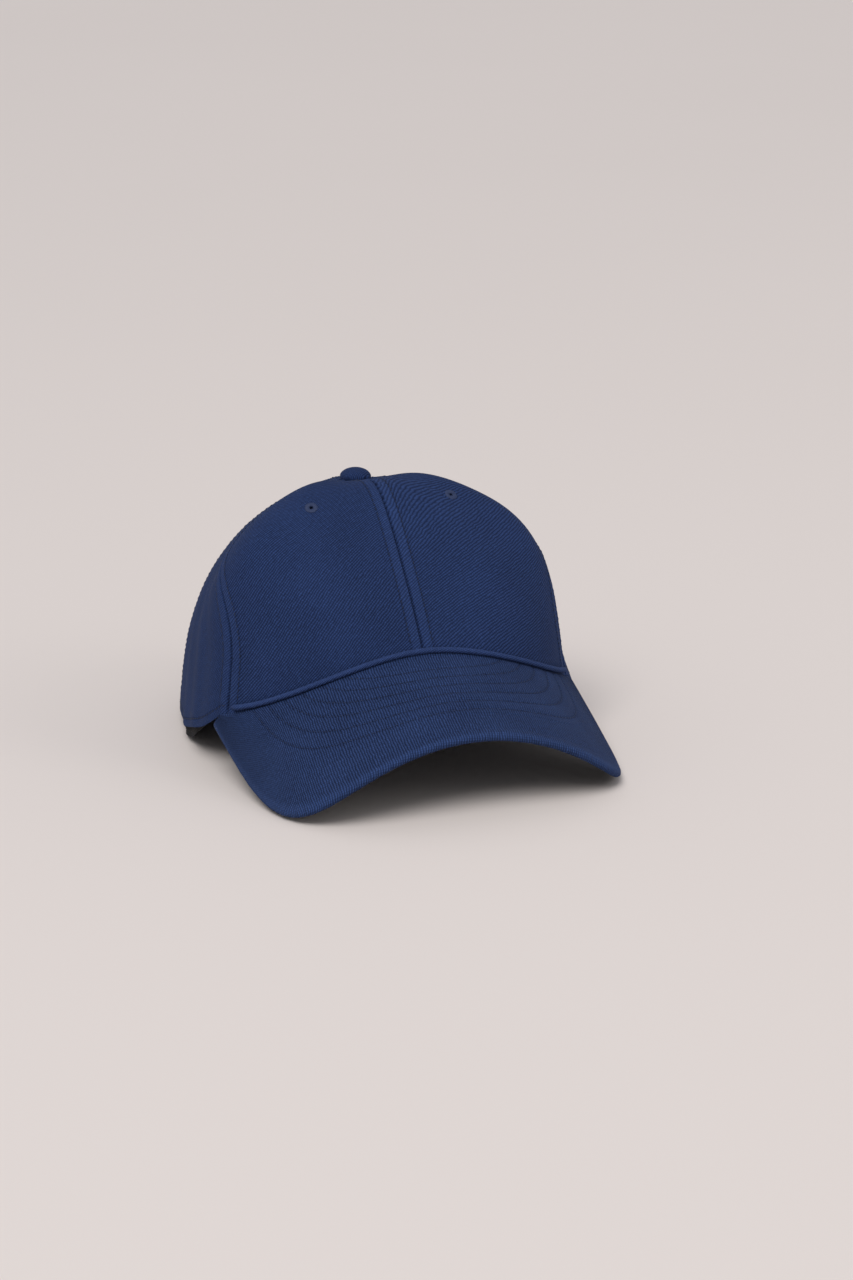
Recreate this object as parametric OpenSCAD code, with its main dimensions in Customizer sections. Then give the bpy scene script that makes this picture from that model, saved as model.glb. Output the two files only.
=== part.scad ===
// Six-panel baseball cap, lying on a flat surface on its visor corners and hem.
// Z = 0 is the surface. The visor points to -Y, X runs across the cap and X = 0 is its middle plane.

/* [Crown] */
// Half length of the head opening, front to back
half_length = 96.5; // [90:0.5:104]
// Half width of the head opening
half_width = 90; // [87:0.5:92]
// Height of the crown's top above the surface
crown_height = 122; // [115:0.5:132]
// How far the top sits behind the middle of the opening
top_y = 6; // [-8:0.5:8]
// How far the front panels stand above the top button's place
brow_height = 7; // [0:0.5:14]
// How far round the head the side seams lean on their way up, degrees
seam_lean = 26.5; // [0:0.5:28]
// Flattening of the front of the opening, percent
front_flat = 8.5; // [4:0.5:9]
// Thickness of the panel cloth
cloth = 0.9; // [0.6:0.1:0.9]
// Thickness of the stiff lining behind the front panels
lining = 0.6; // [0.5:0.1:0.8]

/* [Visor] */
// Radius that the visor is bent to, across the cap
bend_radius = 109; // [104:1:116]
// Fall of the visor's middle line towards the front, degrees
visor_pitch = 17; // [12:0.5:18]
// Height of the seam above the surface, in the middle of the front
seam_height = 56.3; // [54:0.1:62]
// Angle round the head at which the visor ends
visor_end = 62; // [61:1:64]
// Half width of the visor, measured along its bend
visor_half_width = 106; // [104:0.5:110]
// Length of the visor in the middle
visor_length = 65.5; // [50:0.5:75]
// Squareness of the visor's front corners
corner = 4; // [2.4:0.1:4.5]
// Thickness of the visor's stiff board
board = 1.8; // [1.2:0.1:2]
// Thickness of each cloth on the board
visor_cloth = 0.7; // [0.5:0.1:0.8]

/* [Back opening] */
// Half width of the arch at the hem
arch_half_width = 32; // [30:1:36]
// Height of the arch
arch_height = 40; // [38:1:46]
// Width of the adjusting strap
strap_width = 20; // [16:1:20]
// Thickness of the strap
strap_thick = 1.2; // [0.8:0.1:1.2]

/* [Trim] */
// Radius of the rolled edge above the visor
roll_radius = 1.4; // [1:0.1:1.8]
// Outer radius of an eyelet
eyelet_radius = 3.4; // [2.8:0.1:4]
// Radius of the top button
button_radius = 7.5; // [6:0.5:9]
// Width of the tapes over the inner seams
tape_width = 14; // [10:1:16]
// Height of the sweatband inside the crown
band_height = 30; // [24:1:32]
// How far the sweatband hangs below the hem at the sides and back
band_drop = 5; // [3:0.5:6]

/* [Hidden] */

navy = [0.13, 0.18, 0.36];
navy_dark = [0.1, 0.14, 0.28];
lining_grey = [0.14, 0.13, 0.12];
steel = [0.6, 0.6, 0.62];

// Depths below the crown's outer face of the layers inside it
tape_in = 2.8;
tape_thick = 0.5;
foam_in = 2.35;
foam_thick = 1;
band_thick = 0.6;
// Hole in the middle of the top, under the button, as a share of the opening
top_hole = 0.035;
eyelet_t = 0.725;
// The clasp lies across the arch, a little to the right of the middle
strap_mid = 15.5;
strap_in = 2.3;
clasp_from = 167.5;
clasp_to = 180.4;
pin_at = 179.5;
pin_in = strap_in - 1.15;
pin_radius = 0.5;

function unit(v) = v / norm(v);
function mix(a, b, k) = a + (b - a) * k;
function smooth(k) = let (c = min(max(k, 0), 1)) c * c * (3 - 2 * c);
function flip(list) = [for (i = [len(list) - 1 : -1 : 0]) list[i]];

// Plan of the head opening. The angle p is 0 at the front and 180 at the back, and grows towards +X.
function front_share(p) = 1 - smooth((abs(p) - 80) / 60);
function plan_scale(p) = 1 - front_share(p) * (front_flat / 100 * cos(3 * p) + 0.01 * cos(4 * p));
function rim_x(p) = half_width * sin(p) * plan_scale(p);
function rim_y(p) = -half_length * cos(p) * plan_scale(p);
front_y = rim_y(0);

// The visor is a sheet bent round a line that falls towards the front
function bend_at(y) = bend_radius - 11.5 * (front_y - y) / 70;
function visor_z(x, y) =
    seam_height + (y - front_y) * tan(visor_pitch)
    - bend_at(y) * (1 - sqrt(1 - pow(x / bend_at(y), 2)));

// The hem follows the visor's seam in front, then drops behind the visor's ends until the sweatband,
// which hangs a little below it, meets the surface
end_z = visor_z(rim_x(visor_end), rim_y(visor_end));
function drop(p) = let (u = min(max((abs(p) - visor_end) / 42, 0), 1)) pow(1 - u, 2) * (1 + 0.15 * u);
function hem_z(p) =
    abs(p) <= visor_end ? visor_z(rim_x(p), rim_y(p)) : end_z * drop(p) + band_drop * (1 - drop(p));

// The crown rises from the opening to the top along rounded ribs. t is 0 at the hem and 1 at the top.
// The stiff front panels stand up in a brow, and the soft panels sink behind it.
function back_share(p) = smooth((abs(p) - 90) / 63);
function shoulder(p) = exp(-pow((abs(p) - 66) / 12, 2));
function plan_power(p) =
    mix(1.86 + 0.69 * cos(p) - 0.21 * cos(2 * p) + 1.02 * shoulder(p), 1.69, back_share(p));
function rise_power(p) =
    mix(2.24 - 0.19 * cos(p) - 0.79 * cos(2 * p) + 0.61 * shoulder(p), 2.24, back_share(p));
function brow(p, rho) = brow_height * (1 - smooth((abs(p) - 44) / 50)) * 307 * pow(rho, 3) * pow(1 - rho, 6);
function swell(p) = -(3.04 + 1.52 * cos(2 * p) + 0.59 * shoulder(p)) * (1 - back_share(p));
function flare(p) = 2.6 * sin(min(max((abs(p) - 50) / 80, 0), 1) * 180);
// The front panels are widest at their shoulders, so the side seams lean outwards as they rise
function lean(p, t) =
    p + sign(p) * seam_lean * sin(min(abs(p) / 120, 1) * 180) * smooth((t - 0.08) / 0.59);
function crown_mid(p, t) =
    let (
        a = lean(p, t),
        rho = pow(max(cos(90 * t), 0), 2 / plan_power(a)),
        up = pow(sin(90 * t), 2 / rise_power(a)),
        out = flare(a) * pow(1 - up, 2) + swell(a) * sin(180 * up),
        x = rim_x(a),
        y = rim_y(a),
        r = norm([x, y])
    )
    [x * rho + out * x / r, top_y + (y - top_y) * rho + out * y / r,
        mix(hem_z(a), crown_height, up) + brow(a, rho)];
function crown_out(p, t) =
    let (
        a = crown_mid(p + 0.5, t) - crown_mid(p - 0.5, t),
        b = crown_mid(p, min(t + 0.003, 1)) - crown_mid(p, max(t - 0.003, 0))
    )
    unit(cross(a, b));
// A point of the crown at a depth below its outer face
function crown(p, t, depth) =
    let (q = crown_mid(p, t) - depth * crown_out(p, t))
    [q[0], q[1], max(q[2], 0)];
// The t of a height above the hem
// (the brow lifts it a little more)
function t_at(p, h) = asin(pow(max(h, 0) / (crown_height - hem_z(p)), rise_power(p) / 2)) / 90;

// Closed thin solid through rings of points. A ring runs out along one face and back along the other.
module skin(rings) {
    n = len(rings);
    m = len(rings[0]);
    last = (n - 1) * m;
    sides = [for (i = [0 : n - 2], j = [0 : m - 1])
        let (a = i * m + j, b = i * m + (j + 1) % m)
        each [[a, b + m, b], [a, a + m, b + m]]];
    first_cap = [for (j = [0 : m / 2 - 2]) each [[j, m - 2 - j, m - 1 - j], [j, j + 1, m - 2 - j]]];
    last_cap = [for (f = first_cap) [f[0] + last, f[2] + last, f[1] + last]];
    polyhedron([for (r = rings) each r], concat(sides, first_cap, last_cap), convexity = 10);
}

// The t at which a rib reaches the small hole in the middle of the top, under the button
function top_at(p) = acos(pow(top_hole, plan_power(lean(p, 1)) / 2)) / 90;

// One piece of the crown between two angles, at a range of depths
function rib(p, from_t, to_share, from_in, to_in, n) =
    let (
        to_t = to_share * top_at(p),
        ts = [for (j = [0 : n]) mix(from_t, to_t, 0.35 * j / n + 0.325 * (1 - cos(180 * j / n)))]
    )
    concat([for (t = ts) crown(p, t, from_in)], [for (t = flip(ts)) crown(p, t, to_in)]);
module crown_piece(p0, p1, from_in, to_in, bottom = 0, top = 1, steps = 10, rows = 18) {
    skin([for (i = [0 : steps]) let (p = mix(p0, p1, i / steps)) rib(p, bottom, top, from_in, to_in, rows)]);
}

// Puts its children on the crown, with +Z out of the cloth
module on_crown(p, t, depth = 0) {
    n = crown_out(p, t);
    translate(crown_mid(p, t) - depth * n)
        rotate([0, acos(n[2]), atan2(n[1], n[0])])
            children();
}
module eyelet_hole(p) {
    on_crown(p, eyelet_t)
        cylinder(r = eyelet_radius, h = 12, center = true, $fn = 48);
}
module eyelet(p, back) {
    color(navy_dark) on_crown(p, eyelet_t)
        translate([0, 0, -back])
            difference() {
                cylinder(r = eyelet_radius, h = back + 0.35, $fn = 48);
                translate([0, 0, -1])
                    cylinder(r = eyelet_radius - 2, h = back + 3, $fn = 48);
            }
}

// Front panels: tall, nearly upright, sewn together on the middle line
module front_panel(p0, p1) {
    color(navy) difference() {
        crown_piece(p0, p1, 0, cloth);
        eyelet_hole((p0 + p1) / 2);
    }
}
module front_panel_left() { mirror([1, 0, 0]) front_panel_right(); }
module front_panel_right() { front_panel(0, 60); }

// Side panels: soft, from the visor's ends to behind the ears
module side_panel(p0, p1) {
    color(navy) difference() {
        crown_piece(p0, p1, 0, cloth);
        eyelet_hole((p0 + p1) / 2);
    }
}
module side_panel_left() { side_panel(-120, -60); }
module side_panel_right() { side_panel(60, 120); }

// The arch in the back, as a rounded outline in x and z that grows by a margin
function angle_at(x) = 180 - asin(x / (half_width * plan_scale(172)));
function arch_x(a, grow) = (arch_half_width + grow) * sign(a) * pow(abs(sin(a)), 0.85);
function arch_z(a, grow) = (arch_height + grow) * pow(cos(a), 0.85);
arch_steps = 9;
function arch_ribs(side) = [for (i = [arch_steps : -1 : 0])
    let (a = 90 * i / arch_steps, p = side * angle_at(arch_x(a, 0)))
    rib(p, t_at(p, arch_z(a, 0)), 1, 0, cloth, 18)];
module back_panel(side) {
    edge = angle_at(arch_half_width);
    plain = [for (i = [0 : 7]) rib(side * mix(120, edge, i / 8), 0, 1, 0, cloth, 18)];
    rings = concat(plain, arch_ribs(side));
    color(navy) difference() {
        skin(side > 0 ? rings : flip(rings));
        eyelet_hole(side * 150);
    }
}
module back_panel_left() { back_panel(-1); }
module back_panel_right() { back_panel(1); }

// Buckram: stiff open-weave lining that holds the front panels up
module buckram(p0, p1) {
    color("white") difference() {
        crown_piece(p0, p1, cloth + 0.5, cloth + 0.5 + lining, 0.04, 0.94);
        eyelet_hole(p0 < 0 ? -30 : 30);
    }
}
module buckram_left() { mirror([1, 0, 0]) buckram_right(); }
module buckram_right() { buckram(1, 58); }

// Tapes: bias strips sewn over the seam allowances inside, down to the sweatband
function tape_half(p, t) =
    let (q = crown_mid(p, t))
    min(25, atan(tape_width / 2 / norm([q[0], q[1] - top_y])));
module tape(p, bottom) {
    ts = [for (j = [0 : 18]) mix(t_at(p, bottom), 0.94, j / 18)];
    rings = [for (side = [-1 : 0.5 : 1]) concat(
        [for (t = ts) crown(p + side * tape_half(p, t), t, tape_in)],
        [for (t = flip(ts)) crown(p + side * tape_half(p, t), t, tape_in + tape_thick)])];
    color(lining_grey) skin(rings);
}
module tape_front() { tape(0, band_height + 2); }
module tape_front_left() { mirror([1, 0, 0]) tape_front_right(); }
module tape_front_right() { tape(60, band_height + 2); }
module tape_rear_left() { tape(-120, band_height + 2); }
module tape_rear_right() { tape(120, band_height + 2); }
module tape_back() { tape(180, arch_height + 8); }

// Sweatband: a band of cloth round the inside of the opening, with foam behind its front
function band_in(p) = mix(foam_in + foam_thick + 0.2, cloth + 0.3, smooth((abs(p) - 60) / 14));
function band_bottom(p) = mix(1.5, -band_drop, smooth((abs(p) - 60) / 25));
function inside(p, h, depth) = crown(p, t_at(p, max(h, 0)), depth) + [0, 0, min(h, 0)];
module band_piece(p_end, steps, rows) {
    skin([for (i = [0 : steps])
        let (p = mix(-p_end, p_end, i / steps), r = rows(p))
        concat([for (h = r[0]) inside(p, h, r[1])], [for (h = flip(r[0])) inside(p, h, r[1] + r[2])])]);
}
module sweatband() {
    color(lining_grey)
        band_piece(147, 56, function(p)
            let (low = band_bottom(p))
            [[low, max(low, 0) + 0.2, 10, 20, band_height], band_in(p), band_thick]);
}
module sweatband_foam() {
    color("gainsboro")
        band_piece(58, 26, function(p) [[3, 10, 18, band_height - 4], foam_in, foam_thick]);
}

// Visor: s runs from -1 at its left end to 1 at its right end, k from 0 at the crown to 1 at the edge
function seam_u(p) = let (r = bend_at(seam(p)[1])) r * asin(seam(p)[0] / r) * PI / 180;
function seam(p) = let (r = [rim_x(p), rim_y(p)]) r + (flare(p) + 0.5) * unit(r);
function visor_flat(s, k) =
    let (
        p = s * visor_end,
        a = (1 - abs(s)) * 90,
        reach = pow(pow(cos(a), corner) + pow(sin(a), corner), -1 / corner),
        edge_u = (s < 0 ? -1 : 1) * visor_half_width * reach * cos(a),
        end_y = seam(visor_end)[1],
        edge_y = end_y - (visor_length + end_y - front_y) * reach * sin(a)
    )
    [mix(seam_u(p), edge_u, k), mix(seam(p)[1], edge_y, k)];
function visor_bent(u, y) =
    let (r = bend_at(y), a = u / r * 180 / PI)
    [r * sin(a), y, seam_height + (y - front_y) * tan(visor_pitch) - r * (1 - cos(a))];
function visor_up(u, y) =
    unit(cross(visor_bent(u + 0.5, y) - visor_bent(u - 0.5, y),
        visor_bent(u, y + 0.5) - visor_bent(u, y - 0.5)));
// A point of the visor at a height above the middle of its board
function visor(s, k, lift) =
    let (f = visor_flat(s, k), q = visor_bent(f[0], f[1]) + lift * visor_up(f[0], f[1]))
    [q[0], q[1], max(q[2], 0)];
visor_steps = 44;
function visor_s(i) = -1 + 2 * i / visor_steps;
function visor_row(s, from_k, to_k, lift, n = 5) =
    [for (j = [0 : n]) visor(s, mix(from_k, to_k, j / n), lift)];
// The board lies this far inside the cloth's edge, and the cloths start this far from the seam
edge_k = 0.985;
seam_k = 0.015;
module visor_board() {
    color("ivory") skin([for (i = [0 : visor_steps])
        let (s = visor_s(i) * 0.985)
        concat(visor_row(s, seam_k, edge_k, board / 2), flip(visor_row(s, seam_k, edge_k, -board / 2)))]);
}
// The top cloth wraps down over the board's edge
module visor_top_cloth() {
    low = board / 2 + 0.2;
    color(navy) skin([for (i = [0 : visor_steps])
        let (s = visor_s(i))
        concat(visor_row(s, seam_k, 1, low + visor_cloth), [visor(s, 1, -low)],
            [visor(s, mix(edge_k, 1, 0.3), -low)], flip(visor_row(s, seam_k, mix(edge_k, 1, 0.3), low)))]);
}
module visor_under_cloth() {
    low = board / 2 + 0.25;
    color(lining_grey) skin([for (i = [0 : visor_steps])
        let (s = visor_s(i))
        concat(visor_row(s, seam_k, 1, -low), flip(visor_row(s, seam_k, 1, -low - visor_cloth)))]);
}

// Brow roll: the rolled edge of cloth in the corner between the crown and the visor
module brow_roll() {
    rise = board / 2 + visor_cloth + 0.25 + roll_radius;
    color(navy) skin([for (i = [0 : 40])
        let (
            p = mix(-visor_end, visor_end, i / 40),
            t = t_at(p, rise),
            out = unit([crown_out(p, t)[0], crown_out(p, t)[1], 0]),
            c = crown(p, t, -roll_radius - 0.1)
        )
        [for (j = [0 : 9]) c + roll_radius * (sin(36 * j) * out + cos(36 * j) * [0, 0, 1])]]);
}

// Top button: a cloth cover over a pressed shell, held by a rivet with a washer inside
module button_cover() {
    color(navy) translate([0, top_y, crown_height + 1.2])
        rotate_extrude($fn = 64)
            difference() {
                scale([1, 0.55]) circle(r = button_radius, $fn = 64);
                scale([1, 0.55]) circle(r = button_radius - 0.7, $fn = 64);
                translate([-20, -10]) square([20, 20]);
                translate([-1, -20]) square([20, 20]);
            }
}
module button_shell() {
    color(steel) translate([0, top_y, crown_height + 1.2])
        rotate_extrude($fn = 64)
            difference() {
                scale([1, 0.55]) circle(r = button_radius - 0.75, $fn = 64);
                scale([1, 0.55]) circle(r = button_radius - 1.35, $fn = 64);
                translate([-20, -10]) square([20, 20]);
                translate([-1, -20]) square([20, 20]);
            }
}
module button_rivet() {
    color(steel) translate([0, top_y, crown_height]) {
        translate([0, 0, -4]) cylinder(r = 1.6, h = 7, $fn = 32);
        translate([0, 0, -4.8]) cylinder(r = button_radius - 1.5, h = 0.8, $fn = 48);
    }
}

// Eyelets: worked round vent holes, one in each panel
module eyelet_front_left() { eyelet(-30, cloth + lining + 0.4); }
module eyelet_front_right() { eyelet(30, cloth + lining + 0.4); }
module eyelet_side_left() { eyelet(-90, cloth + 0.3); }
module eyelet_side_right() { eyelet(90, cloth + 0.3); }
module eyelet_back_left() { eyelet(-150, cloth + 0.3); }
module eyelet_back_right() { eyelet(150, cloth + 0.3); }

// Arch binding: folded tape over the edge of the back arch
function arch_point(a, grow, depth) =
    let (p = angle_at(arch_x(a, grow)))
    crown(p, t_at(p, arch_z(a, grow)), depth);
binding_section = [[5, -0.5], [-0.55, -0.5], [-0.55, cloth + 0.5], [5, cloth + 0.5],
    [5, cloth + 0.1], [-0.15, cloth + 0.1], [-0.15, -0.1], [5, -0.1]];
module arch_binding() {
    color(navy) skin([for (i = [-14 : 14])
        [for (q = flip(binding_section)) arch_point(90 * i / 14, q[0], q[1])]]);
}

// Bands that follow the back of the crown at the strap's height
function back_plan(p, depth) = let (q = crown(p, t_at(p, strap_mid - band_drop), depth)) [q[0], q[1]];
module back_band(p0, p1, from_in, to_in, z0, z1) {
    ps = [for (i = [0 : 16]) mix(p0, p1, i / 16)];
    translate([0, 0, z0])
        linear_extrude(z1 - z0)
            polygon(concat([for (p = ps) back_plan(p, from_in)], [for (p = flip(ps)) back_plan(p, to_in)]));
}

// Strap: sewn under the left back panel, passes through the clasp, its tail lies under the right panel
strap_z = strap_mid - strap_width / 2;
module strap() {
    color(navy)
        back_band(154, 210, strap_in, strap_in + strap_thick, strap_z, strap_z + strap_width);
}
// Strap tab: a short loop round the clasp's right bar, sewn under the right back panel
tab_from = 154;
bar_from = 168.2;
bar_to = 169.3;
module strap_tab() {
    ps = [for (i = [0 : 10]) mix(tab_from, bar_to + 0.5, i / 10)];
    gap = [for (i = [0 : 2]) mix(bar_from - 0.2, bar_to + 0.15, i / 2)];
    color(navy) translate([0, 0, strap_z + 1])
        linear_extrude(strap_width - 2)
            difference() {
                polygon(concat([for (p = ps) back_plan(p, strap_in + 1.6)],
                    [for (p = flip(ps)) back_plan(p, strap_in + 4)]));
                polygon(concat([for (p = gap) back_plan(p, strap_in + 2.15)],
                    [for (p = flip(gap)) back_plan(p, strap_in + 3.45)]));
            }
}

// Clasp: a metal frame round the strap, with a lever that turns on a pin and grips it
rail = 1.8;
clasp_in = strap_in + 3.3;
rail_low = strap_z - 0.6 - rail;
rail_high = strap_z + strap_width + 0.6;
module pin_place() {
    c = back_plan(pin_at, pin_in);
    translate([c[0], c[1], rail_low])
        children();
}
clasp_height = rail_high + rail - rail_low;
module clasp_bar(p0, p1, from_in) {
    back_band(p0, p1, from_in, clasp_in - 0.1, rail_low + 0.2, rail_high + rail - 0.2);
}
module buckle_frame() {
    color(steel) difference() {
        union() {
            back_band(clasp_from, clasp_to, strap_in - 2.3, clasp_in, rail_low, rail_low + rail);
            back_band(clasp_from, clasp_to, strap_in - 2.3, clasp_in, rail_high, rail_high + rail);
            clasp_bar(bar_from, bar_to, strap_in + 2.3);
            clasp_bar(173.6, 174.6, strap_in + 1.5);
            clasp_bar(clasp_to - 1.1, clasp_to - 0.1, strap_in + 2.3);
        }
        pin_place() translate([0, 0, -1])
            cylinder(r = pin_radius, h = clasp_height + 2, $fn = 32);
    }
}
module buckle_pin() {
    color(steel) pin_place()
        cylinder(r = pin_radius, h = clasp_height, $fn = 32);
}
module buckle_lever() {
    color(steel) difference() {
        union() {
            back_band(168, 179, strap_in - 1.8, strap_in - 0.8, strap_z - 0.3, strap_z + strap_width + 0.3);
            pin_place() translate([0, 0, rail + 0.3])
                cylinder(r = 1.05, h = clasp_height - 2 * rail - 0.6, $fn = 32);
        }
        pin_place() translate([0, 0, -1])
            cylinder(r = pin_radius + 0.05, h = clasp_height + 2, $fn = 32);
    }
}

front_panel_left();
front_panel_right();
side_panel_left();
side_panel_right();
back_panel_left();
back_panel_right();
buckram_left();
buckram_right();
tape_front();
tape_front_left();
tape_front_right();
tape_rear_left();
tape_rear_right();
tape_back();
sweatband();
sweatband_foam();
brow_roll();
visor_board();
visor_top_cloth();
visor_under_cloth();
button_cover();
button_shell();
button_rivet();
eyelet_front_left();
eyelet_front_right();
eyelet_side_left();
eyelet_side_right();
eyelet_back_left();
eyelet_back_right();
arch_binding();
strap();
strap_tab();
buckle_frame();
buckle_pin();
buckle_lever();
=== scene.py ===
import math

import bmesh
import bpy
from mathutils import Matrix, Vector, noise


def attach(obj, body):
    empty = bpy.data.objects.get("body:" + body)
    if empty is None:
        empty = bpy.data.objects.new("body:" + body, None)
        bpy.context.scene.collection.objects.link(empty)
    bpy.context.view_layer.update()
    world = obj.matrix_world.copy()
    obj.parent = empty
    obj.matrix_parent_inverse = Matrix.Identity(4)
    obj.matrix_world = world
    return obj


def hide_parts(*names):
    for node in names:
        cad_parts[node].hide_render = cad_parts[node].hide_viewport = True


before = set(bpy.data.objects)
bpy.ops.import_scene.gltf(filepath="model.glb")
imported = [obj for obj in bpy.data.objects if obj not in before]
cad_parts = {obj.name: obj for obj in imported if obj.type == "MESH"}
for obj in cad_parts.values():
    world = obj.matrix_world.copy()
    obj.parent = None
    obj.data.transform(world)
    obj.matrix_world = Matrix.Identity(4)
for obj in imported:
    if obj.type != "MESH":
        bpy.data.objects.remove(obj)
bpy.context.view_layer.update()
bpy.ops.object.select_all(action="DESELECT")

# ---------------------------------------------------------------------------
# Camera: a long lens a little above the cap, on the wearer's right of its nose.
# It looks at a point beside the cap, so the cap stands left of the middle.
lens_turn, lens_lift, lens_away = math.radians(-21.18), math.radians(16.51), 1.6998
lens_back = Vector((
    math.sin(lens_turn) * math.cos(lens_lift),
    -math.cos(lens_turn) * math.cos(lens_lift),
    math.sin(lens_lift),
))
lens_aim = Vector((math.cos(lens_turn), math.sin(lens_turn), 0)) * 0.03246 + Vector((0, 0, 0.0416))
bpy.ops.object.camera_add(location=lens_aim + lens_back * lens_away)
camera = bpy.context.object
camera.name = "camera"
camera.rotation_mode = "QUATERNION"
camera.rotation_quaternion = (-lens_back).to_track_quat("-Z", "Y")
camera.data.lens = 97.22
bpy.context.scene.camera = camera
bpy.context.scene.view_settings.view_transform = "Standard"

# ---------------------------------------------------------------------------
# Studio: a wide sheet of matt warm-white board under the cap, and a pale room round it.
# The light comes mostly from a bright wall high on the left, with two soft lamps nearer the cap.
bpy.ops.mesh.primitive_plane_add(size=40, location=(0, 8, 0))
floor = bpy.context.object
floor.name = "studio_floor"
board_paint = bpy.data.materials.new("pale_board")
board_paint.use_nodes = True
tree = board_paint.node_tree
shader = tree.nodes["Principled BSDF"]
shader.inputs["Roughness"].default_value = 0.9
shader.inputs["Specular IOR Level"].default_value = 0.15
place = tree.nodes.new("ShaderNodeTexCoord")
cloudy = tree.nodes.new("ShaderNodeTexNoise")
cloudy.inputs["Scale"].default_value = 1.3
cloudy.inputs["Detail"].default_value = 3
tint = tree.nodes.new("ShaderNodeMix")
tint.data_type = "RGBA"
tint.inputs["A"].default_value = (0.738, 0.675, 0.645, 1)
tint.inputs["B"].default_value = (0.758, 0.695, 0.665, 1)
tree.links.new(place.outputs["Object"], cloudy.inputs["Vector"])
tree.links.new(cloudy.outputs["Fac"], tint.inputs["Factor"])
tree.links.new(tint.outputs["Result"], shader.inputs["Base Color"])
floor.data.materials.append(board_paint)

room = bpy.data.worlds.new("room")
bpy.context.scene.world = room
room.use_nodes = True
room.node_tree.nodes["Background"].inputs["Color"].default_value = (0.94, 0.955, 1.0, 1)
room.node_tree.nodes["Background"].inputs["Strength"].default_value = 0.45


def lamp(kind, name, x, y, z, strength, spread, colour):
    """A soft lamp that shines from a place towards the cap; a sun is as soft as its spread in degrees."""
    bpy.ops.object.light_add(type=kind, location=(x, y, z))
    made = bpy.context.object
    made.name = name
    made.data.energy = strength
    made.data.color = colour
    if kind == "SUN":
        made.data.angle = math.radians(spread)
    else:
        made.data.shape, made.data.size = "DISK", spread
    made.rotation_mode = "QUATERNION"
    made.rotation_quaternion = (Vector((0, 0, 0.05)) - Vector((x, y, z))).to_track_quat("-Z", "Y")


lamp("SUN", "wall_of_light", -1.1, -1.3, 2.8, 1.45, 40, (1.0, 0.985, 0.97))
lamp("AREA", "near_lamp", -1.2, -1.3, 1.9, 9, 1.2, (1.0, 0.985, 0.97))
lamp("AREA", "right_lamp", 1.7, -1.5, 1.4, 6, 1.4, (1.0, 0.985, 0.97))

# ---------------------------------------------------------------------------
# Crown: six panels of navy textured cotton. Neighbours are sewn face to face, their edges are
# pressed open, and a row of stitches holds each edge down 5.5 mm from the seam. Two panels have
# stiff backing and make the front; the other four are limp. The hem of the limp ones is turned up.
half_length, half_width, crown_height, crown_y = 0.0965, 0.090, 0.122, 0.006
brow_height, front_flat, seam_lean = 0.007, 0.085, 26.5
bend_radius, visor_pitch, seam_height, visor_end = 0.109, 17, 0.0563, 62
band_drop = 0.005
cloth_thick, top_hole = 0.0009, 0.035


def sin_d(a):
    return math.sin(math.radians(a))


def cos_d(a):
    return math.cos(math.radians(a))


def mix(a, b, k):
    return a + (b - a) * k


def smooth(k):
    c = min(max(k, 0.0), 1.0)
    return c * c * (3 - 2 * c)


def hump(x, middle, width):
    return math.exp(-(((x - middle) / width) ** 2))


def plan_scale(p):
    front = 1 - smooth((abs(p) - 80) / 60)
    return 1 - front * (front_flat * cos_d(3 * p) + 0.01 * cos_d(4 * p))


def rim(p):
    return Vector((half_width * sin_d(p), -half_length * cos_d(p))) * plan_scale(p)


front_y = rim(0).y


def bend_at(y):
    return bend_radius - 0.0115 * (front_y - y) / 0.070


def visor_z(x, y):
    r = bend_at(y)
    rise_back = (y - front_y) * math.tan(math.radians(visor_pitch))
    return seam_height + rise_back - r * (1 - math.sqrt(1 - (x / r) ** 2))


end_z = visor_z(*rim(visor_end))


def hem_z(p):
    if abs(p) <= visor_end:
        return visor_z(*rim(p))
    u = min(max((abs(p) - visor_end) / 42, 0), 1)
    k = (1 - u) ** 2 * (1 + 0.15 * u)
    return end_z * k + band_drop * (1 - k)


def flare(p):
    return 0.0026 * sin_d(min(max((abs(p) - 50) / 80, 0), 1) * 180)


def back_share(p):
    return smooth((abs(p) - 90) / 63)


def shoulder(p):
    return math.exp(-(((abs(p) - 66) / 12) ** 2))


def plan_power(p):
    return mix(1.86 + 0.69 * cos_d(p) - 0.21 * cos_d(2 * p) + 1.02 * shoulder(p), 1.69, back_share(p))


def rise_power(p):
    return mix(2.24 - 0.19 * cos_d(p) - 0.79 * cos_d(2 * p) + 0.61 * shoulder(p), 2.24, back_share(p))


def lean(p, t):
    """The side seams lean outwards as they rise, so the front panels are widest at their shoulders."""
    if abs(p) >= 120 or p == 0:
        return p
    return p + math.copysign(seam_lean, p) * sin_d(abs(p) * 1.5) * smooth((t - 0.08) / 0.59)


def crown_mid(p, t):
    a = lean(p, t)
    rho = max(cos_d(90 * t), 0) ** (2 / plan_power(a))
    up = max(sin_d(90 * t), 0) ** (2 / rise_power(a))
    sink = (0.00304 + 0.00152 * cos_d(2 * a) + 0.00059 * shoulder(a)) * (1 - back_share(a))
    out = flare(a) * (1 - up) ** 2 - sink * sin_d(180 * up)
    x, y = rim(a)
    r = math.hypot(x, y)
    brow = brow_height * (1 - smooth((abs(a) - 44) / 50)) * 307 * rho**3 * (1 - rho) ** 6
    return Vector((
        x * rho + out * x / r,
        crown_y + (y - crown_y) * rho + out * y / r,
        mix(hem_z(a), crown_height, up) + brow,
    ))


def crown_out(p, t):
    across = crown_mid(p + 0.5, t) - crown_mid(p - 0.5, t)
    return across.cross(crown_mid(p, min(t + 0.003, 1)) - crown_mid(p, max(t - 0.003, 0))).normalized()


def top_at(p):
    """Where the cloth stops at the small hole in the middle of the top, under the button."""
    return math.degrees(math.acos(top_hole ** (plan_power(lean(p, 1)) / 2))) / 90


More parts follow.
